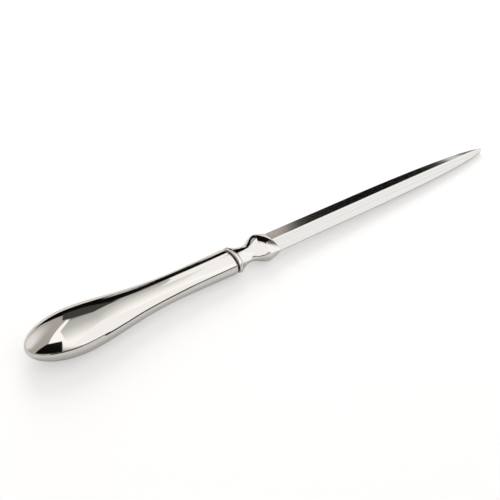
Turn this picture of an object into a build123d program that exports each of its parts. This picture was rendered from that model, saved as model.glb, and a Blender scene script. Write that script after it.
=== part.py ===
"""Letter opener with a hollow teardrop handle, a waisted bolster and a ridged blade.

The opener lies as it does on a desk: +X runs from the handle's nose to the blade's point, +Z is up,
and Z = 0 is the desk, which the swell of the handle and the blade's lower ridge both touch.
Distances along the tool are counted from the nose, on the tool's own axis. All sizes are in mm.
"""

import math
import os

from build123d import *

# Overall
overall_length = 230.0
handle_length = 93.0

# Handle: two pressed half shells, widest at the swell and slimmest at the neck
swell_at = 21.2
swell_width = 22.9
swell_thickness = 14.4
neck_at = 74.0
neck_width = 13.0
neck_thickness = 8.7
mouth_width = 13.4
mouth_thickness = 9.0
shell_wall = 0.7
mouth_round = 0.35
taper_power = 3.0

# Plate that closes the mouth, and the cement that fills the handle
plate_thickness = 1.2
plate_inset = 0.8
fit_gap = 0.08

# Collar ring, a bead round the bolster's seat
groove_width = 1.0
ring_width = 1.8
ring_stand = 0.1
ring_round = 0.75
seat_step = 1.3

# Bolster: starts at the ring, draws in to the waist, flares to the shoulder and rolls down to the blade.
# Its outline is leaner than an oval at the waist and fuller at the shoulder.
bolster_length = 18.5
bolster_back_width = 12.8
bolster_back_thickness = 8.4
waist_at = 6.1
waist_width = 8.9
waist_thickness = 6.6
waist_fullness = 0.4
shoulder_at = 13.2
shoulder_width = 14.4
shoulder_thickness = 8.3
shoulder_fullness = 0.68
bolster_front_width = 12.4
bolster_front_thickness = 4.2
front_fullness = 0.6
roll_power = 1.4

# Blade: diamond section with blunt edges, and an elliptical point
blade_root_width = 12.1
blade_width = 11.5
blade_thickness = 4.0
edge_thickness = 0.5
ridge_power = 0.3
point_length = 75.0
tip_width = 0.9

# Tang, the bar behind the blade that is bedded in the handle
tang_width = 5.2
tang_thickness = 2.6
tang_end_in_handle = 52.0
tang_gap = 0.1

# A quarter of an oval as a cubic curve: the share of each half axis that its handles reach
round_fullness = 0.5523

# Places along the tool
ring_start = handle_length + groove_width
bolster_start = ring_start + ring_width
blade_start = bolster_start + bolster_length
plate_front = handle_length - plate_inset
plate_back = plate_front - plate_thickness
point_start = overall_length - point_length


def between(start, end, share):
    """The value that lies the given share of the way from start to end."""
    return start + (end - start) * share


def handle_size(x, swell, neck, mouth):
    """Width or thickness of the handle at x: a half ellipse, a long taper and a slight flare."""
    if x <= swell_at:
        return swell * math.sqrt(1 - (1 - x / swell_at) ** 2)
    if x <= neck_at:
        run = (x - swell_at) / (neck_at - swell_at)
        return between(neck, swell, (1 - run) ** taper_power * (1 + taper_power * run))
    return between(neck, mouth, ((x - neck_at) / (handle_length - neck_at)) ** 2)


def handle_width(x):
    return handle_size(x, swell_width, neck_width, mouth_width)


def handle_thickness(x):
    return handle_size(x, swell_thickness, neck_thickness, mouth_thickness)


def bolster_size(x, back, waist, shoulder, front):
    """Width, thickness or fullness of the bolster at x, counted from its back."""
    if x <= waist_at:
        return between(waist, back, (1 - x / waist_at) ** 2)
    if x <= shoulder_at:
        run = (x - waist_at) / (shoulder_at - waist_at)
        return between(waist, shoulder, (1 - math.cos(math.pi * run)) / 2)
    roll = (x - shoulder_at) / (bolster_length - shoulder_at)
    return between(shoulder, front, roll**roll_power)


def blade_width_at(x):
    """Width of the blade: a slight taper, then one quarter of a long ellipse on each side."""
    if x <= point_start:
        return between(blade_root_width, blade_width, (x - blade_start) / (point_start - blade_start))
    tip_angle = math.acos(tip_width / blade_width)
    run = (x - point_start) / point_length * math.sin(tip_angle)
    return blade_width * math.sqrt(1 - run**2)


def blade_thickness_at(x):
    """Thickness over the two ridges, which stay high until close to the point."""
    return between(edge_thickness, blade_thickness, (blade_width_at(x) / blade_root_width) ** ridge_power)


# Stations for the lofts, closer together where the form turns faster
nose_angles = (18, 36, 54, 72, 90)
nose_shares = [1 - math.cos(math.radians(angle)) for angle in nose_angles]
taper_shares = (0.14, 0.28, 0.44, 0.6, 0.8, 1.0)
thirds = (1 / 3, 2 / 3, 1)
handle_stations = [between(swell_at, neck_at, share) for share in taper_shares]
handle_stations += [between(neck_at, handle_length, share) for share in thirds]
bolster_stations = [0, *(waist_at * share for share in thirds)]
bolster_stations += [between(waist_at, shoulder_at, share) for share in (0.25, 0.5, 0.75, 1)]
bolster_stations += [between(shoulder_at, bolster_length, share) for share in thirds]
point_angles = (0, 12, 24, 36, 47, 57, 66, 73, 79)
tip_reach = math.sqrt(1 - (tip_width / blade_width) ** 2)
point_shares = [math.sin(math.radians(angle)) / tip_reach for angle in point_angles]
point_stations = [between(point_start, overall_length, share) for share in point_shares]
blade_stations = [blade_start, *point_stations, overall_length]

# Resting pose: the tool leans down to the point until the ring or a ridge of the blade meets the desk
ring_thickness = mouth_thickness + 2 * ring_stand
rests = [(x, blade_thickness_at(x)) for x in blade_stations]
rests.append((ring_start + ring_width / 2, ring_thickness))
lean = min(math.asin((swell_thickness - thickness) / 2 / (x - swell_at)) for x, thickness in rests)
nose_steps = [swell_at * step / 100 for step in range(1, 151)]
rest_height = max(
    handle_thickness(x) / 2 * math.cos(lean) + (x - overall_length / 2) * math.sin(lean)
    for x in nose_steps
)
tool_axis = Vector(math.cos(lean), 0, -math.sin(lean))
tool_up = Vector(math.sin(lean), 0, math.cos(lean))
middle_plane = Plane(origin=(0, 0, rest_height), x_dir=tool_axis, z_dir=tool_up)


def across(x):
    """Plane square to the tool's axis at x: its own X is the tool's width, its own Y is up."""
    middle = Vector(0, 0, rest_height) + tool_axis * (x - overall_length / 2)
    return Plane(origin=middle, x_dir=(0, 1, 0), z_dir=tool_axis)


def oval(x, width, thickness, fullness=round_fullness):
    """Closed outline across the tool at x, made of four like quarters."""
    side = width / 2
    top = thickness / 2
    with BuildSketch(across(x)) as outline:
        with BuildLine():
            for right, up in ((1, 1), (-1, 1), (-1, -1), (1, -1)):
                quarter = [
                    (right * side, 0),
                    (right * side, up * fullness * top),
                    (right * fullness * side, up * top),
                    (0, up * top),
                ]
                Bezier(*(quarter if right == up else reversed(quarter)))
        make_face()
    return outline.sketch


def teardrop(skin, end):
    """Outlines of the handle's form, drawn in by skin all round, from the nose to end."""
    nose = between(0, swell_at, skin / swell_at)
    outlines = [Vertex(*across(nose).origin)]
    for angle, share in zip(nose_angles, nose_shares):
        size = math.sin(math.radians(angle))
        width = (swell_width - 2 * skin) * size
        thickness = (swell_thickness - 2 * skin) * size
        outlines.append(oval(between(nose, swell_at, share), width, thickness))
    for x in [x for x in handle_stations if x < end] + [end]:
        outlines.append(oval(x, handle_width(x) - 2 * skin, handle_thickness(x) - 2 * skin))
    return outlines


def oblong(x, width, thickness):
    """Rectangle across the tool at x, for the tang and the slots that it passes through."""
    with BuildSketch(across(x)) as outline:
        Rectangle(width, thickness)
    return outline.sketch


def bolster_outline(x):
    """Outline of the bolster at x from its back."""
    width = bolster_size(x, bolster_back_width, waist_width, shoulder_width, bolster_front_width)
    thickness = bolster_size(
        x, bolster_back_thickness, waist_thickness, shoulder_thickness, bolster_front_thickness
    )
    fullness = bolster_size(x, round_fullness, waist_fullness, shoulder_fullness, front_fullness)
    return oval(bolster_start + x, width, thickness, fullness)


def diamond(x):
    """Section of the blade at x: four ground faces and two narrow blunt edges."""
    side = blade_width_at(x) / 2
    ridge = blade_thickness_at(x) / 2
    edge = edge_thickness / 2
    upper = [(side, edge), (0, ridge), (-side, edge)]
    lower = [(-side, -edge), (0, -ridge), (side, -edge)]
    with BuildSketch(across(x)) as outline:
        with BuildLine():
            Polyline(*upper, *lower, close=True)
        make_face()
    return outline.sketch


# Handle: the whole shell, then its two halves, which meet on the middle plane
with BuildPart() as handle_shell:
    loft(teardrop(0, handle_length))
    mouth_face = handle_shell.faces().sort_by(Axis.X)[-1]
    fillet(mouth_face.edges(), mouth_round)
    loft(teardrop(shell_wall, handle_length), mode=Mode.SUBTRACT)

with BuildPart() as handle_shell_upper:
    add(handle_shell.part)
    split(bisect_by=middle_plane, keep=Keep.TOP)

with BuildPart() as handle_shell_lower:
    add(handle_shell.part)
    split(bisect_by=middle_plane, keep=Keep.BOTTOM)

slot_width = tang_width + 2 * tang_gap
slot_thickness = tang_thickness + 2 * tang_gap

# Cement that fills the handle and holds the tang
with BuildPart() as filler:
    loft(teardrop(shell_wall + fit_gap, plate_back - fit_gap))
    pocket_end = tang_end_in_handle - tang_gap
    pocket = oblong(pocket_end, slot_width, slot_thickness)
    extrude(pocket, amount=plate_back - pocket_end, mode=Mode.SUBTRACT)

# Plate soldered into the mouth
with BuildPart() as mouth_plate:
    plate_skin = 2 * (shell_wall + fit_gap)
    plate_width = handle_width(plate_back) - plate_skin
    plate_height = handle_thickness(plate_back) - plate_skin
    extrude(oval(plate_back, plate_width, plate_height), amount=plate_thickness)
    extrude(oblong(plate_back, slot_width, slot_thickness), amount=plate_thickness, mode=Mode.SUBTRACT)

# Bolster: the waisted body, and the seat behind it that carries the ring and meets the plate
seat_width = bolster_back_width - 2 * seat_step
seat_thickness = bolster_back_thickness - 2 * seat_step
with BuildPart() as bolster:
    loft([bolster_outline(x) for x in bolster_stations])
    extrude(oval(plate_front, seat_width, seat_thickness), amount=bolster_start - plate_front)
    slot = oblong(plate_front, slot_width, slot_thickness)
    extrude(slot, amount=blade_start - plate_front, mode=Mode.SUBTRACT)

# Collar ring
with BuildPart() as collar_ring:
    outside = oval(ring_start, mouth_width + 2 * ring_stand, ring_thickness)
    extrude(outside, amount=ring_width)
    ends = collar_ring.faces().sort_by(Axis.X)
    fillet(ends[0].edges() + ends[-1].edges(), ring_round)
    bore = oval(ring_start, seat_width + 2 * fit_gap, seat_thickness + 2 * fit_gap)
    extrude(bore, amount=ring_width, mode=Mode.SUBTRACT)

# Blade and tang in one piece
with BuildPart() as blade:
    loft([diamond(x) for x in blade_stations], ruled=True)
    extrude(oblong(tang_end_in_handle, tang_width, tang_thickness), amount=blade_start - tang_end_in_handle)

os.makedirs("parts", exist_ok=True)
pieces = {
    "handle_shell_upper": handle_shell_upper,
    "handle_shell_lower": handle_shell_lower,
    "filler": filler,
    "mouth_plate": mouth_plate,
    "collar_ring": collar_ring,
    "bolster": bolster,
    "blade": blade,
}
for name, piece in pieces.items():
    piece.part.label = name
    export_step(piece.part, f"parts/{name}.step")
    print(name, round(piece.part.volume, 1), "mm3")
print("lean", round(math.degrees(lean), 2), "degrees; middle of the axis", round(rest_height, 2), "mm up")
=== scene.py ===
# %% [markdown]
# # A polished letter opener
#
# The solid model of the opener is already made. This lesson loads it as a fixed frame and gives it the
# surfaces that a camera sees: a mirror-polished handle, ring and bolster, and a ground steel blade.
# Polished metal has almost no colour of its own. It shows its surroundings, so the forms have to be very
# smooth, and the studio round the opener matters as much as the metal.

import math

import bmesh
import bpy
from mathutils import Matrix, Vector


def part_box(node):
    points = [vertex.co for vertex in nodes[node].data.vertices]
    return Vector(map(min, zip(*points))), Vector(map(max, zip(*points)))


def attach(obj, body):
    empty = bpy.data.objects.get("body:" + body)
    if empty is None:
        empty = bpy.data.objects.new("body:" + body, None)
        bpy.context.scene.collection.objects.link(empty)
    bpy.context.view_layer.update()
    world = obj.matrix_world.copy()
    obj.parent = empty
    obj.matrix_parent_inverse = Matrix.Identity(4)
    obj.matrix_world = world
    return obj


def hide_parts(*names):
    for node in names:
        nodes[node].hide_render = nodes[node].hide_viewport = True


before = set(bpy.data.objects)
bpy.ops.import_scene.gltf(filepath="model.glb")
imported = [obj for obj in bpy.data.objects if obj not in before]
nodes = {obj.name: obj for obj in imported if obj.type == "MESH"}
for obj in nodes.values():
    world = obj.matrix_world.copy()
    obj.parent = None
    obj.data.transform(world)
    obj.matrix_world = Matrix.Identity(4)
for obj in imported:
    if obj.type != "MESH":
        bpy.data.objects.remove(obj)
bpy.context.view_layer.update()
mm = 0.001
print("nodes:", ", ".join(sorted(nodes)))

# %% [markdown]
# ## The tool's own axis
#
# The opener lies on the desk and leans a little, because the handle's swell is thicker than the blade.
# All its sections are square to its own axis, not to the desk. The axis is read from the frame: it runs
# from the middle of the collar ring to the middle of the blade's blunt tip. Reading it keeps the new
# surfaces in line with the solids.

# %% Read the axis from the frame
ring_low, ring_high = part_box("collar_ring")
ring_middle = (ring_low + ring_high) / 2
blade_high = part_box("blade")[1]
tip_depth = 0.3 * mm
tip_points = [v.co for v in nodes["blade"].data.vertices if v.co.x > blade_high.x - tip_depth]
tip_middle = sum(tip_points, Vector()) / len(tip_points)
tool_axis = (tip_middle - ring_middle).normalized()
tool_side = Vector((0, 1, 0))
tool_up = tool_axis.cross(tool_side)

nose_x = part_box("handle_shell_upper")[0].x
nose = ring_middle + tool_axis * ((nose_x - ring_middle.x) / tool_axis.x)
overall_length = (tip_middle - nose).length
ring_at = (ring_middle - nose).length


def place(along, across, up):
    """A point of the tool: its distance from the nose, to the side and above the axis."""
    return nose + tool_axis * along + tool_side * across + tool_up * up


lean = math.atan2(-tool_axis.z, tool_axis.x)
print(f"length {overall_length / mm:.1f} mm, ring at {ring_at / mm:.1f} mm")
print(f"lean {math.degrees(lean):.2f} degrees")

# %% [markdown]
# ## Rings drawn along the axis
#
# The handle, the ring and the bolster are all one idea: an oval that changes size as it travels along the
# tool. A spin can't make them, because the ovals aren't round. So one ring of edges is extruded again and
# again, and each new ring is set to the size that the form has there. Many close rings keep the
# reflections free of kinks.
#
# Each oval is made of four like quarters. Its fullness is the length of the curve's handles: 0.5523 draws
# an ellipse, a larger number a squarer oval and a smaller one a leaner oval.

# %% Points round an oval
oval_steps = 160
round_fullness = 0.5523


def oval_point(share, width, thickness, fullness):
    """The point a given share of the way round an oval of four like quarters."""
    quarter, part = divmod(share * 4, 1)
    if quarter in (1, 3):
        part = 1 - part
    rest = 1 - part
    side = rest**3 + 3 * rest**2 * part + 3 * fullness * rest * part**2
    top = part**3 + 3 * part**2 * rest + 3 * fullness * part * rest**2
    side *= -1 if quarter in (1, 2) else 1
    top *= -1 if quarter in (2, 3) else 1
    return side * width / 2, top * thickness / 2


def oval_section(along, width, thickness, fullness=round_fullness):
    """An oval at a distance from the nose, as a pair: the distance and a function of share."""
    return along, lambda share: oval_point(share, width, thickness, fullness)


print(f"{oval_steps} points round each oval")


# %% A ring of edges, extruded from section to section
def draw_tube(sections, steps=oval_steps):
    """Extrude a ring of edges through the sections. Returns the mesh, its first and its last ring."""
    bm = bmesh.new()
    bmesh.ops.create_circle(bm, cap_ends=False, radius=1, segments=steps)
    ring = list(bm.verts)
    first_edges = edges = list(bm.edges)
    for number, (along, outline) in enumerate(sections):
        if number:
            grown = bmesh.ops.extrude_edge_only(bm, edges=edges)["geom"]
            new = {g for g in grown if isinstance(g, bmesh.types.BMVert)}
            edges = [g for g in grown if isinstance(g, bmesh.types.BMEdge) and new.issuperset(g.verts)]
            ring = [next(e.other_vert(v) for e in v.link_edges if e.other_vert(v) in new) for v in ring]
        for step, v in enumerate(ring):
            v.co = place(along, *outline(step / steps))
    return bm, first_edges, edges


# %% [markdown]
# ## From a mesh to a piece
#
# Every visible part is drawn as a finer mesh that takes the place of one solid of the frame. It stays at
# the origin, because its points are already where they belong. Smooth shading suits polished metal, and
# the few crisp edges are marked afterwards.

# %% Helpers for objects and pieces
def finished_mesh(bm, name):
    """Turn a bmesh into a named mesh."""
    mesh = bpy.data.meshes.new(name)
    bm.to_mesh(mesh)
    bm.free()
    return mesh


def add_object(name, data):
    """Put a new object into the scene."""
    new_object = bpy.data.objects.new(name, data)
    bpy.context.scene.collection.objects.link(new_object)
    return new_object


def make_piece(bm, name, node):
    """Turn a bmesh into a smooth named object that stands for a node of the frame."""
    mesh = finished_mesh(bm, name)
    for face in mesh.polygons:
        face.use_smooth = True
    piece = add_object(name, mesh)
    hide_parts(node)
    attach(piece, "root")
    print(f"{name}: {len(mesh.polygons)} faces")
    return piece


# %% [markdown]
# ## The handle
#
# The handle is a hollow teardrop pressed from sheet in two halves, an upper and a lower one, soldered along
# the sides and polished until the seam is gone. Its nose is half an ellipse, its long taper runs smoothly
# into the neck, and its mouth flares a little. It is drawn as one closed skin: out along the outside, over
# the rounded mouth and back along the inside. So the outside has no seam to begin with.

# %% The handle's form
swell_at = 21.2 * mm
swell_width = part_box("handle_shell_upper")[1].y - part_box("handle_shell_upper")[0].y
swell_thickness = 14.4 * mm
neck_at = 74 * mm
neck_width = 13.0 * mm
neck_thickness = 8.7 * mm
mouth_width = 13.4 * mm
mouth_thickness = 9.0 * mm
taper_power = 3
ring_width = 1.8 * mm
groove_width = 1.0 * mm
handle_length = ring_at - ring_width / 2 - groove_width
print(f"handle {handle_length / mm:.1f} mm long, {swell_width / mm:.1f} mm wide at the swell")


# %% Sections of the handle
def between(start, end, share):
    """The value that lies the given share of the way from start to end."""
    return start + (end - start) * share


def handle_size(along, swell, neck, mouth):
    """Width or thickness of the handle: a half ellipse, a long taper and a slight flare."""
    if along <= swell_at:
        return swell * math.sqrt(max(0, 1 - (1 - along / swell_at) ** 2))
    if along <= neck_at:
        run = (along - swell_at) / (neck_at - swell_at)
        return between(neck, swell, (1 - run) ** taper_power * (1 + taper_power * run))
    return between(neck, mouth, ((along - neck_at) / (handle_length - neck_at)) ** 2)


def handle_section(along, skin=0):
    """Section of the handle, drawn in by skin all round."""
    width = handle_size(along, swell_width, neck_width, mouth_width)
    thickness = handle_size(along, swell_thickness, neck_thickness, mouth_thickness)
    return oval_section(along, max(0, width - 2 * skin), max(0, thickness - 2 * skin))


def nose_section(turn, skin=0):
    """Section of the rounded nose, by the angle of its quarter ellipse from the point."""
    along = between(skin, swell_at, 1 - math.cos(turn))
    size = math.sin(turn)
    return oval_section(along, (swell_width - 2 * skin) * size, (swell_thickness - 2 * skin) * size)


# %% Even steps
quarter_turn = math.pi / 2


def shares(count):
    """Even steps from just above 0 to 1."""
    return [(step + 1) / count for step in range(count)]


def turns(count):
    """Even steps from just above 0 to a quarter turn."""
    return [quarter_turn * share for share in shares(count)]


print("a quarter turn in three steps:", [round(math.degrees(turn)) for turn in turns(3)])

# %% Draw the handle's skin
shell_wall = 0.7 * mm
mouth_round = 0.35 * mm
grain = 1e-7
nose_rings, body_rings, mouth_rings, inside_rings = 40, 110, 8, 30
nose_turns = [0, *turns(nose_rings)]
body_stations = [between(swell_at, handle_length - mouth_round, share) for share in shares(body_rings)]
outside = [nose_section(turn) for turn in nose_turns] + [handle_section(along) for along in body_stations]
rim = []
for turn in turns(mouth_rings):
    back = mouth_round * (1 - math.sin(turn))
    skin = mouth_round * (1 - math.cos(turn))
    rim.append(oval_section(handle_length - back, mouth_width - 2 * skin, mouth_thickness - 2 * skin))
inside_stations = [between(swell_at, handle_length, share) for share in [0, *shares(inside_rings)]]
inside = [handle_section(along, shell_wall) for along in reversed(inside_stations)]
# Nobody sees the inside of the nose, so every second ring is enough there.
inside += [nose_section(turn, shell_wall) for turn in reversed(nose_turns[:-1:2])]

whole = draw_tube(outside + rim + inside)[0]
bmesh.ops.remove_doubles(whole, verts=whole.verts, dist=grain)
bmesh.ops.recalc_face_normals(whole, faces=whole.faces)
whole.normal_update()
print(f"handle skin: {len(whole.faces)} faces")

# %% [markdown]
# ### Two halves without a visible seam
#
# The skin is cut on the middle plane, and each half is closed along the cut with a flat strip, as wide as
# the sheet is thick. On the real handle the polish hides the solder line. So each half keeps the normals
# that the whole skin had there, and the reflections run over the cut without a break.

# %% Keep the normals of the whole skin
def spot(point):
    """A point as whole numbers of grain, to find it again after the cut."""
    return tuple(round(c / grain) for c in point)


whole_normals = {spot(v.co): v.normal.copy() for v in whole.verts}
print(f"{len(whole_normals)} normals kept")

# %% One half of the skin
seam_depth = 10 * grain


def half_handle(name, node, upward):
    """One half of the handle: the skin above or below the middle plane, closed along the seam."""
    half = whole.copy()
    bmesh.ops.bisect_plane(
        half,
        geom=half.verts[:] + half.edges[:] + half.faces[:],
        dist=grain,
        plane_co=nose,
        plane_no=tool_up,
        clear_inner=upward,
        clear_outer=not upward,
    )
    seam = [edge for edge in half.edges if edge.is_boundary]
    bmesh.ops.triangle_fill(half, use_beauty=True, edges=seam)
    bmesh.ops.recalc_face_normals(half, faces=half.faces)
    piece = make_piece(half, name, node)
    mesh = piece.data
    normals = []
    for face in mesh.polygons:
        points = [mesh.vertices[i].co for i in face.vertices]
        on_seam = all(abs((point - nose).dot(tool_up)) < seam_depth for point in points)
        for point in points:
            normals.append(face.normal if on_seam else whole_normals.get(spot(point), face.normal))
    mesh.normals_split_custom_set(normals)
    return piece


# %% Cut the skin into halves
handle_upper = half_handle("handle_upper", "handle_shell_upper", True)
handle_lower = half_handle("handle_lower", "handle_shell_lower", False)
whole.free()

# %% [markdown]
# ## The bolster
#
# The bolster joins the handle to the blade. It could be cast and then filed and polished. It draws in to a
# waist, flares to a shoulder and rolls down to the blade. Behind it is a smaller seat that carries the ring
# and reaches into the handle's mouth. A slot for the blade's tang runs through it, so its skin goes out
# along the outside and back along the slot, and the two ends are joined at the back.

# %% The bolster's form
bolster_start = ring_at + ring_width / 2
bolster_length = 18.5 * mm
# The back, the waist, the shoulder and the front have a width, a thickness and a fullness each.
bolster_back = (12.8 * mm, 8.4 * mm, round_fullness)
waist_at = 6.1 * mm
waist = (8.9 * mm, 6.6 * mm, 0.4)
shoulder_at = 13.2 * mm
shoulder = (14.4 * mm, 8.3 * mm, 0.68)
bolster_front = (12.4 * mm, 4.2 * mm, 0.6)
roll_power = 1.4
blade_start = bolster_start + bolster_length
print(f"bolster from {bolster_start / mm:.1f} to {blade_start / mm:.1f} mm")


# %% Sections of the bolster
def bolster_sizes(along):
    """Width, thickness and fullness of the bolster, counted from its back."""
    if along <= waist_at:
        start, end, share = waist, bolster_back, (1 - along / waist_at) ** 2
    elif along <= shoulder_at:
        run = (along - waist_at) / (shoulder_at - waist_at)
        start, end, share = waist, shoulder, (1 - math.cos(math.pi * run)) / 2
    else:
        run = (along - shoulder_at) / (bolster_length - shoulder_at)
        start, end, share = shoulder, bolster_front, run**roll_power
    return [between(a, b, share) for a, b in zip(start, end)]


def bolster_section(along, skin=0):
    """Section of the bolster, drawn in by skin all round."""
    width, thickness, fullness = bolster_sizes(along)
    return oval_section(bolster_start + along, width - 2 * skin, thickness - 2 * skin, fullness)


# %% The slot for the tang
slot_width = 5.4 * mm
slot_thickness = 2.8 * mm


def oblong_point(share, width, thickness):
    """The point of a rectangle that lies in the same direction as a share of a circle."""
    turn = share * math.tau
    reach = max(abs(math.cos(turn)), abs(math.sin(turn)))
    return math.cos(turn) / reach * width / 2, math.sin(turn) / reach * thickness / 2


def slot_section(along):
    """Section of the slot for the tang."""
    return along, lambda share: oblong_point(share, slot_width, slot_thickness)


print(f"slot {slot_width / mm:.1f} by {slot_thickness / mm:.1f} mm")

# %% Draw the bolster
front_round = 0.15 * mm
seat_step = 1.3 * mm
seat_depth = 0.8 * mm
seat_start = handle_length - seat_depth
bolster_rings, front_rings = 120, 4
sharp_turn = math.radians(40)


def join_ends(bm, first_ring, last_ring):
    """Close a tube into itself: join its first ring to its last."""
    bmesh.ops.bridge_loops(bm, edges=first_ring + last_ring)
    bmesh.ops.recalc_face_normals(bm, faces=bm.faces)


seat = (bolster_back[0] - 2 * seat_step, bolster_back[1] - 2 * seat_step)
bolster_sections = [oval_section(seat_start, *seat), oval_section(bolster_start, *seat)]
for share in [0, *shares(bolster_rings)]:
    bolster_sections.append(bolster_section((bolster_length - front_round) * share))
for turn in turns(front_rings):
    back = front_round * (1 - math.sin(turn))
    bolster_sections.append(bolster_section(bolster_length - back, front_round * (1 - math.cos(turn))))
bolster_sections += [slot_section(blade_start), slot_section(seat_start)]
body, first_ring, last_ring = draw_tube(bolster_sections)
join_ends(body, first_ring, last_ring)
bolster = make_piece(body, "bolster_body", "bolster")
bolster.data.set_sharp_from_angle(angle=sharp_turn)

# %% [markdown]
# ## The collar ring
#
# A thin bead hides the joint between the handle's mouth and the bolster. It could be bent from half-round
# wire and soldered on. Both its edges are rounded, so it is drawn as two quarter rounds and a plain bore,
# which sits just clear of the bolster's seat.

# %% Draw the collar ring
ring_stand = 0.1 * mm
ring_round = 0.75 * mm
ring_gap = 0.08 * mm
bead_rings = 10
bead_width = mouth_width + 2 * ring_stand
bead_thickness = mouth_thickness + 2 * ring_stand
ring_start = ring_at - ring_width / 2
bead_turns = [0, *turns(bead_rings)]
bead_sections = []
for start, way in ((ring_start, 1), (bolster_start, -1)):
    for turn in bead_turns[::way]:
        inset = ring_round * (1 - math.sin(turn))
        along = start + way * ring_round * (1 - math.cos(turn))
        bead_sections.append(oval_section(along, bead_width - 2 * inset, bead_thickness - 2 * inset))
bore = (seat[0] + 2 * ring_gap, seat[1] + 2 * ring_gap)
bead_sections += [oval_section(bolster_start, *bore), oval_section(ring_start, *bore)]
bead, first_ring, last_ring = draw_tube(bead_sections)
join_ends(bead, first_ring, last_ring)
collar = make_piece(bead, "collar_bead", "collar_ring")
collar.data.set_sharp_from_angle(angle=sharp_turn)

# %% [markdown]
# ## The blade
#
# The blade is ground from flat bar. A ridge runs along the middle of each side, and the edges are left blunt,
# so its section is a flat diamond with six corners. The same ring of edges draws it, now with six corners
# only, together with the narrow tang behind it. Rings crowd towards the tip, where the outline bends most.

# %% The blade's form
blade_root_width = 12.1 * mm
blade_width = 11.5 * mm
blade_thickness = 4.0 * mm
edge_thickness = 0.5 * mm
ridge_power = 0.3
point_length = 75 * mm
point_start = overall_length - point_length
tip_width = 0.9 * mm
tip_turn = math.acos(tip_width / blade_width)
tang_width = 5.2 * mm
tang_thickness = 2.6 * mm
print(f"blade from {blade_start / mm:.1f} mm, point from {point_start / mm:.1f} mm")

# %% Sections of the blade and the tang
corner_count = 6


def blade_width_at(along):
    """Width of the blade: a slight taper, then one quarter of a long ellipse on each side."""
    if along <= point_start:
        return between(blade_root_width, blade_width, (along - blade_start) / (point_start - blade_start))
    run = (along - point_start) / point_length * math.sin(tip_turn)
    return blade_width * math.sqrt(1 - run**2)


def six_corners(along, side, edge, ridge):
    """Section with two ends of each blunt edge, and the two ridges between them."""
    points = [(side, edge), (0, ridge), (-side, edge), (-side, -edge), (0, -ridge), (side, -edge)]
    return along, lambda share: points[round(share * corner_count)]


def blade_section(along):
    """Section of the blade: the ridge sinks a little as the blade narrows."""
    width = blade_width_at(along)
    ridge = between(edge_thickness, blade_thickness, (width / blade_root_width) ** ridge_power)
    return six_corners(along, width / 2, edge_thickness / 2, ridge / 2)


def tang_section(along):
    """Section of the tang: an oblong, with the blade's six corners."""
    return six_corners(along, tang_width / 2, tang_thickness / 2, tang_thickness / 2)


# %% Draw the blade
tang_end = 52 * mm
straight_rings, point_rings = 24, 48
straight_stations = [between(blade_start, point_start, share) for share in [0, *shares(straight_rings)]]
point_stations = []
for share in shares(point_rings):
    point_stations.append(point_start + point_length * math.sin(tip_turn * share) / math.sin(tip_turn))
blade_sections = [tang_section(tang_end), tang_section(blade_start)]
blade_sections += [blade_section(along) for along in straight_stations + point_stations]
bar, first_ring, last_ring = draw_tube(blade_sections, corner_count)
for end in (first_ring, last_ring):
    bmesh.ops.edgeloop_fill(bar, edges=end)
bmesh.ops.recalc_face_normals(bar, faces=bar.faces)
print(f"ground bar: {len(bar.faces)} faces")

# %% [markdown]
# ### Ridges that catch the light
#
# No real ridge is perfectly sharp: polishing rounds it, and it shows a fine line of light. A small bevel
# does the same. It leaves out the tang, which nobody polishes. The facets beside the ridges are flat, so
# weighted normals keep the bevel's turn from spreading over them.

# %% Soften the blade's edges
soft_edge = 0.06 * mm
facet_turn = math.radians(12)


def on_blade(edge):
    """Whether an edge belongs to the blade, not to the tang."""
    return min((v.co - nose).dot(tool_axis) for v in edge.verts) > blade_start - grain


ground = [edge for edge in bar.edges if edge.calc_face_angle(0) > facet_turn and on_blade(edge)]
print("edges to bevel:", len(ground))
bmesh.ops.bevel(
    bar,
    geom=ground,
    offset=soft_edge,
    offset_type="OFFSET",
    segments=2,
    profile=0.5,
    affect="EDGES",
    clamp_overlap=True,
    material=-1,
)
blade = make_piece(bar, "blade_ground", "blade")
weighted = blade.modifiers.new("facet normals", "WEIGHTED_NORMAL")
weighted.mode = "FACE_AREA"
weighted.weight = 100

# %% [markdown]
# ## Tools for the finishes
#
# Every finish is built from the same few steps: a noise on the object's own coordinates, a range mapped to
# another, a run between two tones and a shallow bump. As small functions they keep each finish short. The
# noise hangs on the object, so it travels with the piece when the piece is moved.

# %% A new material and its noise
def new_material(name):
    """A material with a fresh node tree. Returns it with its tree and its shader."""
    material = bpy.data.materials.new(name)
    material.use_nodes = True
    tree = material.node_tree
    return material, tree, tree.nodes["Principled BSDF"]


def stretched_noise(tree, scale, stretch, detail):
    """Noise on Object coordinates, stretched by the given scales along X, Y and Z."""
    coordinates = tree.nodes.new("ShaderNodeTexCoord")
    mapping = tree.nodes.new("ShaderNodeMapping")
    mapping.inputs["Scale"].default_value = stretch
    noise = tree.nodes.new("ShaderNodeTexNoise")
    noise.inputs["Scale"].default_value = scale
    noise.inputs["Detail"].default_value = detail
    tree.links.new(coordinates.outputs["Object"], mapping.inputs["Vector"])
    tree.links.new(mapping.outputs["Vector"], noise.inputs["Vector"])
    return noise.outputs["Fac"]


# %% Ranges, tones and bumps
def spread(tree, value, source, target):
    """Map one range of values to another, each a pair of low and high."""
    node = tree.nodes.new("ShaderNodeMapRange")
    node.inputs["From Min"].default_value, node.inputs["From Max"].default_value = source
    node.inputs["To Min"].default_value, node.inputs["To Max"].default_value = target
    tree.links.new(value, node.inputs["Value"])
    return node.outputs["Result"]


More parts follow.
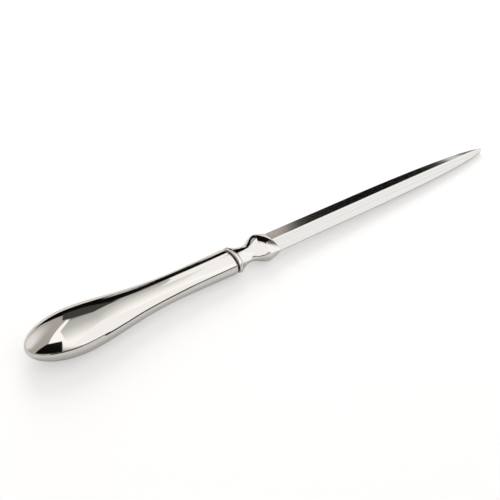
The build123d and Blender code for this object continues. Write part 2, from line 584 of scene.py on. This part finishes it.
def two_tones(tree, value, first, second, stops=(0, 1)):
    """A colour that runs from one tone to another while the value goes from stop to stop."""
    node = tree.nodes.new("ShaderNodeValToRGB")
    for number, tone in enumerate((first, second)):
        node.color_ramp.elements[number].position = stops[number]
        node.color_ramp.elements[number].color = (*tone, 1)
    tree.links.new(value, node.inputs["Fac"])
    return node.outputs["Color"]


def bump(tree, shader, height, strength, distance):
    """A shallow bump from a height, on the shader's normal."""
    node = tree.nodes.new("ShaderNodeBump")
    node.inputs["Strength"].default_value = strength
    node.inputs["Distance"].default_value = distance
    tree.links.new(height, node.inputs["Height"])
    tree.links.new(node.outputs["Normal"], shader.inputs["Normal"])


# %% [markdown]
# ## Polished silver
#
# The handle, ring and bolster share one finish: silver plate polished to a mirror, faintly warm, with the
# hairlines that handling leaves. A buffing wheel never leaves one even gloss, so the roughness varies a
# little over the surface. The hairlines are a very shallow bump, drawn out along the tool.

# %% Silver's polish
silver, silver_tree, silver_shader = new_material("polished_silver")
silver_shader.inputs["Metallic"].default_value = 1
even = (1, 1, 1)
smear = stretched_noise(silver_tree, scale=60, stretch=even, detail=4)
smear_range = (0.35, 0.7)
mirror_roughness = (0.035, 0.075)
polish = spread(silver_tree, smear, smear_range, mirror_roughness)
hairline = stretched_noise(silver_tree, scale=900, stretch=(0.25, 1, 1), detail=2)
bump(silver_tree, silver_shader, hairline, strength=0.02, distance=0.02 * mm)
print("mirror roughness", mirror_roughness)

# %% [markdown]
# ### Tarnish and painted shade in the groove
#
# Polish doesn't reach into the groove between the handle's mouth and the ring, so dark brown tarnish stays
# there, never quite even. The shade that falls into the groove is painted in the same dark brown, stronger
# on the near side, away from the lamp. Both lie in the metal's colour and gloss, so they need no form. The
# material finds the groove by its distance along the tool's axis. It lies in the metal's colour and gloss, so
# it
# needs no form. The material finds the groove by its distance along the tool's axis.

# %% The groove's place along the axis
groove_start = handle_length - mouth_round / 4
groove_end = ring_start + ring_round / 8
groove_edge = 0.1 * mm
object_place = silver_tree.nodes.new("ShaderNodeTexCoord").outputs["Object"]
along_axis = silver_tree.nodes.new("ShaderNodeVectorMath")
along_axis.operation = "DOT_PRODUCT"
along_axis.inputs[1].default_value = tool_axis
silver_tree.links.new(object_place, along_axis.inputs[0])
distance = along_axis.outputs["Value"]
first_edge = nose.dot(tool_axis) + groove_start
last_edge = nose.dot(tool_axis) + groove_end
rise = spread(silver_tree, distance, (first_edge, first_edge + groove_edge), (0, 1))
fall = spread(silver_tree, distance, (last_edge - groove_edge, last_edge), (1, 0))
print(f"groove from {groove_start / mm:.2f} to {groove_end / mm:.2f} mm")

# %% Painted shade stronger on the near side, tarnish in patches
far_share = 0.45
patch_share = 0.5
patch_range = (0.35, 0.65)
side_place = silver_tree.nodes.new("ShaderNodeSeparateXYZ")
silver_tree.links.new(object_place, side_place.inputs["Vector"])
side_range = (mouth_width / 4, -mouth_width / 4)
# Painted shade: the groove is painted darker on the near side, away from the lamp.
nearness = spread(silver_tree, side_place.outputs["Y"], side_range, (far_share, 1))
patches = stretched_noise(silver_tree, scale=500, stretch=even, detail=2)
uneven = spread(silver_tree, patches, patch_range, (patch_share, 1))
print(f"share of the tarnish on the far side {far_share}, in the palest patches {patch_share}")

# %% Lay the tarnish and the painted shade on the silver
clean_silver = (0.92, 0.9, 0.875)
# This dark brown paints both the groove's tarnish and the shade that falls into it.
dark_tarnish_and_shade = (0.1, 0.07, 0.048)
tarnish_roughness = 0.45
tarnish_and_shade = rise
for share in (fall, nearness, uneven):
    product = silver_tree.nodes.new("ShaderNodeMath")
    product.operation = "MULTIPLY"
    silver_tree.links.new(tarnish_and_shade, product.inputs[0])
    silver_tree.links.new(share, product.inputs[1])
    tarnish_and_shade = product.outputs["Value"]
silver_colour = two_tones(silver_tree, tarnish_and_shade, clean_silver, dark_tarnish_and_shade)
silver_tree.links.new(silver_colour, silver_shader.inputs["Base Color"])
dull = silver_tree.nodes.new("ShaderNodeMath")
dull.operation = "MULTIPLY_ADD"
dull.inputs[1].default_value = tarnish_roughness
silver_tree.links.new(tarnish_and_shade, dull.inputs[0])
silver_tree.links.new(polish, dull.inputs[2])
silver_tree.links.new(dull.outputs["Value"], silver_shader.inputs["Roughness"])
silver_pieces = (handle_upper, handle_lower, bolster, collar)
for piece in silver_pieces:
    piece.data.materials.append(silver)
print("silver on", ", ".join(piece.name for piece in silver_pieces))

# %% [markdown]
# ## Ground steel
#
# The blade is polished after grinding, but fine lines still run along it. They are noise that is stretched
# very far along X, so each line stays parallel to the edge. The same noise drives colour, gloss and bump,
# because on real steel one scratch changes all three.

# %% Steel
steel, tree, shader = new_material("ground_steel")
shader.inputs["Metallic"].default_value = 1
grind = stretched_noise(tree, scale=1, stretch=(3, 900, 0), detail=3)
grind_range = (0.3, 0.7)
steel_roughness = (0.09, 0.16)
steel_dark, steel_light = (0.74, 0.73, 0.72), (0.84, 0.83, 0.82)
steel_colour = two_tones(tree, grind, steel_dark, steel_light, stops=grind_range)
tree.links.new(steel_colour, shader.inputs["Base Color"])
tree.links.new(spread(tree, grind, grind_range, steel_roughness), shader.inputs["Roughness"])
bump(tree, shader, grind, strength=0.05, distance=0.02 * mm)
blade.data.materials.append(steel)
print("steel on", blade.name)

# %% [markdown]
# ## The two hidden pieces
#
# A brass plate with a slot for the tang closes the handle's mouth, and hard resin cement fills the handle
# behind it. Both stay as the frame gives them, because nobody sees them. They get finishes of their own, so
# that the opener can be taken apart and still look right: rolled brass with faint lines across it, and gritty
# cement.

# %% Brass
brass, tree, shader = new_material("plate_brass")
shader.inputs["Metallic"].default_value = 1
rolled = stretched_noise(tree, scale=400, stretch=(1, 0.1, 1), detail=3)
rolled_range = (0.3, 0.7)
brass_roughness = (0.25, 0.45)
brass_dark, brass_light = (0.5, 0.37, 0.16), (0.76, 0.6, 0.3)
brass_colour = two_tones(tree, rolled, brass_dark, brass_light)
tree.links.new(brass_colour, shader.inputs["Base Color"])
tree.links.new(spread(tree, rolled, rolled_range, brass_roughness), shader.inputs["Roughness"])
print("brass roughness", brass_roughness)

# %% Cement
cement, tree, shader = new_material("setting_cement")
grit = stretched_noise(tree, scale=700, stretch=even, detail=6)
cement_roughness = 0.85
cement_dark, cement_light = (0.25, 0.21, 0.17), (0.46, 0.41, 0.35)
cement_colour = two_tones(tree, grit, cement_dark, cement_light)
tree.links.new(cement_colour, shader.inputs["Base Color"])
shader.inputs["Roughness"].default_value = cement_roughness
bump(tree, shader, grit, strength=0.3, distance=0.2 * mm)
print("cement roughness", cement_roughness)

# %% Dress the hidden pieces
for node, material in (("mouth_plate", brass), ("filler", cement)):
    nodes[node].data.materials.clear()
    nodes[node].data.materials.append(material)
    print(material.name, "on", node)

# %% [markdown]
# ## The studio
#
# A mirror shows what stands round it, so the light and dark shapes on the metal are drawn with cards, as a
# product photographer sets them up. Black cards give the metal its dark edges. Pale ones hide a black card
# where the metal should stay bright. Reflections alone see the cards, so they neither shade the floor nor
# stand in the way of other views. Most corners are given as directions from the opener, because a small
# mirror shows from which direction light comes, not from how far.

# %% Points by their direction
def toward(azimuth, elevation, distance):
    """A point by its direction: azimuth 0 is the near side, 90 the blade's end, 180 the far side."""
    turn, rise = math.radians(azimuth), math.radians(elevation)
    flat = math.cos(rise) * distance
    return Vector((math.sin(turn) * flat, -math.cos(turn) * flat, math.sin(rise) * distance))


def directions(corners, distance, centre=Vector()):
    """Points at one distance from a centre, each by its azimuth and elevation."""
    return [centre + toward(azimuth, elevation, distance) for azimuth, elevation in corners]


# %% Cards of one tone
def studio_panel(name, bm):
    """A panel from a bmesh, seen in reflections only. Returns its mesh, its node tree and its glow."""
    mesh = finished_mesh(bm, name)
    panel = add_object(name, mesh)
    panel.visible_camera = False
    panel.visible_diffuse = False
    panel.visible_shadow = False
    material, tree, shader = new_material(name)
    tree.nodes.remove(shader)
    glow = tree.nodes.new("ShaderNodeEmission")
    tree.links.new(glow.outputs["Emission"], tree.nodes["Material Output"].inputs["Surface"])
    mesh.materials.append(material)
    return mesh, tree, glow


def card(name, points, tone):
    """A card of one tone through its corner points."""
    bm = bmesh.new()
    bm.faces.new([bm.verts.new(point) for point in points])
    _, _, glow = studio_panel(name, bm)
    glow.inputs["Color"].default_value = (*tone, 1)
    print(f"{name}: {len(points)} corners, tone {tone[0]}")


# %% [markdown]
# ### The far wall
#
# A tall black card on the far side gives the dark edge along the handle and the bolster, and it makes the
# blade's far facet dark. A brown card continues it on the right in a softer tone. A pale band hangs in front
# of its upper edge, where the metal should go from black to white softly. A sand-coloured strip in front of
# its foot lightens the blade's far facet beside the bolster.

# %% Cards on the far side
black = (0.004, 0.0035, 0.003)
umber = (0.16, 0.145, 0.13)
pale_grey = (0.6, 0.58, 0.56)
pale_sand = (0.7, 0.645, 0.59)
wall_distance = 1.6
screen_distance = 1.2
far_outline = [
    (182, 0.5),
    (179, 9),
    (173, 20),
    (163, 27),
    (158, 36),
    (154, 33),
    (150, 32),
    (145, 37),
    (140, 42),
    (121, 45),
    (123, 20),
    (125, 0.5),
]
fade_outline = [(125, 0.5), (123, 20), (116, 20), (112, 0.5)]
band_outline = [
    (156, 30),
    (150, 32),
    (145, 36),
    (140, 42),
    (121, 45),
    (117, 53),
    (134, 54),
    (146, 47),
    (156, 38),
]
gap_outline = [(156, 0.5), (156, 11), (149.6, 13), (149.6, 0.5)]
card("far_card", directions(far_outline, wall_distance), black)
card("far_fade", directions(fade_outline, wall_distance), umber)
card("soft_band", directions(band_outline, screen_distance), pale_grey)
card("gap_card", directions(gap_outline, screen_distance), pale_sand)

# %% [markdown]
# ### The light overhead
#
# A broad white panel hangs above the opener and fills the upper side of the metal. Below it hangs a sheet
# of paper that glows with painted light: white at its near edge, as if lit there, fading to grey and ending
# in a dark hem on the far side. It gives the handle its soft run from white to grey. A plain card can't fade,
# so each row of the sheet's points carries its own painted tone, and the tones between the rows follow by
# themselves.

# %% The panel
ceiling_height = 1.2
panel_white = (1.03, 1.02, 1.0)
panel_outline = [(161, 46), (290, 68), (305, 55), (30, 40), (75, 38), (120, 42)]


def on_ceiling(corners, height):
    """Points on a level ceiling, each by its azimuth and elevation."""
    return [toward(azimuth, rise, height / math.sin(math.radians(rise))) for azimuth, rise in corners]


card("overhead", on_ceiling(panel_outline, ceiling_height), panel_white)


# %% The sheet that fades
def graded_sheet(name, rows, tones):
    """A sheet through rows of points that fades from the tone of each row to the tone of the next."""
    points = [point for row in rows for point in row]
    bm = bmesh.new()
    bmesh.ops.create_grid(bm, x_segments=len(rows[0]) - 1, y_segments=len(rows) - 1, size=1)
    for v, point in zip(bm.verts, points):
        v.co = point
    mesh, tree, glow = studio_panel(name, bm)
    colours = mesh.color_attributes.new("tone", "FLOAT_COLOR", "POINT")
    point_tones = [tone for row, tone in zip(rows, tones) for point in row]
    for point, tone in zip(colours.data, point_tones):
        point.color = (*tone, 1)
    attribute = tree.nodes.new("ShaderNodeAttribute")
    attribute.attribute_name = "tone"
    tree.links.new(attribute.outputs["Color"], glow.inputs["Color"])
    print(f"{name}: {len(rows)} rows of points")


# %% The sheet's rows
# Each row: its tone, then in mm its left end, its y as far as the knee and its y at the right end.
# The row tones are painted light: they fade from white to grey as if the sheet were lit from its near edge.
veil_rows = [
    (0.14, -32, 128, 185),
    (0.44, -50, 93, 172),
    (0.51, -84, 40, 158),
    (0.79, -92, -24, 118),
    (0.93, -95, -54, 92),
    (1.03, -95, -97, 32),
]
veil_height = 152
veil_knee = -4
veil_right = 66
veil_warmth = (1, 0.99, 0.95)
veil_points = []
veil_tones = []
for level, left, level_y, right_y in veil_rows:
    row_points = ((left, level_y), (veil_knee, level_y), (veil_right, right_y))
    veil_points.append([Vector((x, y, veil_height)) * mm for x, y in row_points])
    veil_tones.append([level * share for share in veil_warmth])
graded_sheet("veil", veil_points, veil_tones)

# %% [markdown]
# ### Small cards close to the metal
#
# The handle's swell and the bolster are strongly curved, so each shows almost the whole room. A small card
# a few centimetres away changes one of them and leaves the rest of the tool as it is. The swell gets a black
# patch on its near side and a dark one beside its far edge.

# %% Cards beside the swell
dusk = (0.05, 0.045, 0.04)
swell_place = place(swell_at, 0, 0)
camera_card_distance = 0.28
swell_screen_distance = 0.15
camera_outline = [(284, 12), (284, 70), (352, 72), (346, 12)]
swell_outline = [(163, 22), (163, 44), (150, 47), (134, 46), (134, 34), (150, 24)]
card("camera_card", directions(camera_outline, camera_card_distance, swell_place), black)
card("swell_screen", directions(swell_outline, swell_screen_distance, swell_place), dusk)

# %% [markdown]
# The bolster has to stay bright between its dark far edge and the black patch on its front. Three pale cards
# hide the room on its near side, behind its crest and above it, and one black card draws the patch.

# %% Cards beside the bolster
bright = (0.95, 0.94, 0.93)
bolster_place = place(bolster_start + shoulder_at, 0, 0)
bolster_distance = 0.1
top_distance = 0.05
flare_outline = [(292, 14), (292, 74), (330, 78), (12, 60), (12, 9), (340, 12)]
crest_outline = [(155, 38), (155, 64), (178, 64), (178, 38)]
top_outline = [(118, 50), (60, 58), (12, 60), (330, 68), (250, 70), (178, 62), (155, 60)]
ramp_outline = [(124, 20), (124, 42), (140, 50), (155, 47), (155, 26)]
card("flare_screen", directions(flare_outline, bolster_distance, bolster_place), bright)
card("crest_screen", directions(crest_outline, bolster_distance, bolster_place), bright)
card("top_screen", directions(top_outline, top_distance, bolster_place), bright)
card("ramp_card", directions(ramp_outline, bolster_distance, bolster_place), black)

# %% [markdown]
# ### The near side
#
# The metal's near side shows the floor and whatever stands at its end. A low dark skirting there separates
# the floor from the light above it. The thin dark line along the handle is a black rail quite close by. It
# climbs to the right, as the line does on the taper, and thins out at its end. A grey bank fills the space
# below it.

# %% The skirting
near_distance = 1.5
shadow_grey = (0.09, 0.085, 0.08)
skirting_outline = [(325, 1), (325, 12), (368, 10), (368, 1)]
right_outline = [(8, 2), (8, 9), (25, 9), (32, 7), (32, 1), (25, 2)]
card("skirting", directions(skirting_outline, near_distance), dusk)
card("skirting_right", directions(right_outline, near_distance), shadow_grey)

# %% The rail and the bank below it
# Each point of the rail, in mm: its x, the height of its top and its depth.
rail_profile = [
    (-62, 11, 10),
    (-42, 12, 10),
    (-30, 21, 10),
    (-20, 33, 10),
    (-10, 35, 10),
    (5, 39, 9),
    (18, 42, 1),
]
rail_distance = 50
bank_grey = (0.6, 0.59, 0.57)


def upright(profile):
    """Points on an upright sheet beside the near side of the tool, each by its x and its height in mm."""
    return [Vector((x, -rail_distance, height)) * mm for x, height in profile]


rail_top = [(x, height) for x, height, depth in rail_profile]
rail_foot = [(x, height - depth) for x, height, depth in rail_profile]
bank_end = (rail_profile[-1][0], 0)
card("near_line", upright(rail_top + rail_foot[::-1]), black)
card("near_bank", upright([*rail_foot, bank_end]), bank_grey)

# %% [markdown]
# ### A shade beside the point
#
# Near its tip the blade's far facet mirrors the floor just behind it, where the floor lies in shade close to
# the blade. A dark card on the floor, seen in reflections only, is that painted shade and keeps the facet
# dark as far as the tip.

# %% The shade
shade_height = 0.05
shade_grey = (0.2, 0.19, 0.18)
shade_corners = [(92, 2), (130, 2), (130, 24), (92, 24)]
# Painted shade: a dark card for the shade on the floor beside the tip.
card("point_shade", [Vector((x, y, shade_height)) * mm for x, y in shade_corners], shade_grey)

# %% [markdown]
# ## The room
#
# Beyond the cards is the room itself: a warm grey ceiling, a wide white light on the right and a weaker one
# behind the handle on the left. Smooth fades between them give the metal soft tones, which no card can do.
# The camera sees plain white past the floor's end, as in a photograph on an endless white ground.

# %% Colours by direction
world = bpy.data.worlds.new("studio")
bpy.context.scene.world = world
world.use_nodes = True
world_tree = world.node_tree
direction = world_tree.nodes.new("ShaderNodeTexCoord").outputs["Generated"]
mix_under, mix_over, mix_result = 6, 7, 2


def facing(azimuth, elevation, narrow, wide):
    """1 where the direction is within narrow degrees of a given one, falling to 0 at wide degrees."""
    dot = world_tree.nodes.new("ShaderNodeVectorMath")
    dot.operation = "DOT_PRODUCT"
    dot.inputs[1].default_value = toward(azimuth, elevation, 1)
    world_tree.links.new(direction, dot.inputs[0])
    fade = world_tree.nodes.new("ShaderNodeMapRange")
    fade.interpolation_type = "SMOOTHSTEP"
    fade.inputs["From Min"].default_value = math.cos(math.radians(wide))
    fade.inputs["From Max"].default_value = math.cos(math.radians(narrow))
    world_tree.links.new(dot.outputs["Value"], fade.inputs["Value"])
    return fade.outputs["Result"]


def mix(amount, under, over):
    """Lay one colour over another. A colour is a tuple or another node's output."""
    node = world_tree.nodes.new("ShaderNodeMix")
    node.data_type = "RGBA"
    world_tree.links.new(amount, node.inputs["Factor"])
    for index, value in ((mix_under, under), (mix_over, over)):
        if isinstance(value, tuple):
            node.inputs[index].default_value = (*value, 1)
        else:
            world_tree.links.new(value, node.inputs[index])
    return node.outputs[mix_result]


# %% The world
ceiling_grey = (0.4, 0.375, 0.35)
window_white = (1.0, 0.99, 0.98)
corner_grey = (0.8, 0.78, 0.75)
ground_white = (1, 1, 1)
window_light = facing(azimuth=55, elevation=40, narrow=38, wide=62)
corner_light = facing(azimuth=212, elevation=26, narrow=8, wide=40)
camera_sees = world_tree.nodes.new("ShaderNodeLightPath").outputs["Is Camera Ray"]
sky = mix(window_light, ceiling_grey, window_white)
sky = mix(corner_light, sky, corner_grey)
sky = mix(camera_sees, sky, ground_white)
background = world_tree.nodes["Background"]
world_tree.links.new(sky, background.inputs["Color"])
background.inputs["Strength"].default_value = 1
print("world:", len(world_tree.nodes), "nodes")

# %% [markdown]
# ## The floor
#
# The opener lies on a white sheet. A photographer's light table lets such a sheet glow, so that it turns out
# white while soft shadows stay. Here the sheet glows a little for the camera, and almost not at all for the
# metal, whose lower side should mirror it as a light grey.

# %% The floor
floor_reach = 4
bm = bmesh.new()
bmesh.ops.create_grid(bm, x_segments=1, y_segments=1, size=floor_reach)
floor_mesh = finished_mesh(bm, "floor")
floor = add_object("floor", floor_mesh)
print(f"floor {2 * floor_reach} m wide")

# %% The floor's colour and glow
paper_tone = 0.66
paper_roughness = 0.6
camera_glow = 0.42
mirror_glow = 0.02
paper, tree, shader = new_material("white_floor")
shader.inputs["Base Color"].default_value = (paper_tone, paper_tone, paper_tone, 1)
shader.inputs["Roughness"].default_value = paper_roughness
shader.inputs["Specular IOR Level"].default_value = 0
shader.inputs["Emission Color"].default_value = (*ground_white, 1)
path = tree.nodes.new("ShaderNodeLightPath")
seen = tree.nodes.new("ShaderNodeMath")
seen.operation = "MULTIPLY"
seen.inputs[1].default_value = camera_glow
tree.links.new(path.outputs["Is Camera Ray"], seen.inputs[0])
mirrored = tree.nodes.new("ShaderNodeMath")
mirrored.operation = "MULTIPLY_ADD"
mirrored.inputs[1].default_value = mirror_glow
tree.links.new(path.outputs["Is Glossy Ray"], mirrored.inputs[0])
tree.links.new(seen.outputs["Value"], mirrored.inputs[2])
tree.links.new(mirrored.outputs["Value"], shader.inputs["Emission Strength"])
floor_mesh.materials.append(paper)
print(f"glow for the camera {camera_glow}, for the metal {mirror_glow}")

# %% [markdown]
# ## The lamp
#
# The soft shadow on the near side tells where the main light stands: high on the far side, towards the
# blade. A large disk gives the shadow its soft edge. The metal doesn't mirror it, because the cards and the
# room already draw every light shape on the metal.

# %% The lamp, high on the far side
lamp_size = 0.85
lamp_energy = 7.4
lamp_azimuth, lamp_elevation, lamp_distance = 150, 27, 1.0


def aim(thing, stand, target):
    """Put a lamp or a camera on its stand and turn it to a target."""
    thing.location = stand
    thing.rotation_mode = "QUATERNION"
    thing.rotation_quaternion = (target - stand).to_track_quat("-Z", "Y")


lamp_data = bpy.data.lights.new("window", "AREA")
lamp_data.shape = "DISK"
lamp_data.size = lamp_size
lamp_data.energy = lamp_energy
lamp = add_object("window", lamp_data)
aim(lamp, toward(lamp_azimuth, lamp_elevation, lamp_distance), Vector())
lamp.visible_glossy = False
print("lamp at", [round(c, 2) for c in lamp.location])

# %% [markdown]
# ## The camera
#
# The camera stands on the near side, towards the handle, and looks down along the tool. A long lens keeps
# the near end from looking too large. The Standard view shows the white of the floor as it is.

# %% Camera
camera_lens = 105.24
camera_azimuth, camera_elevation, camera_distance = -35.66, 40.98, 600 * mm
camera_target = Vector((-8.972, 3.637, 2.38)) * mm
camera_data = bpy.data.cameras.new("camera")
camera_data.sensor_width = 36
camera_data.lens = camera_lens
camera = add_object("camera", camera_data)
aim(camera, camera_target + toward(camera_azimuth, camera_elevation, camera_distance), camera_target)
bpy.context.scene.camera = camera
bpy.context.scene.view_settings.view_transform = "Standard"
print("camera", [round(c, 3) for c in camera.location])
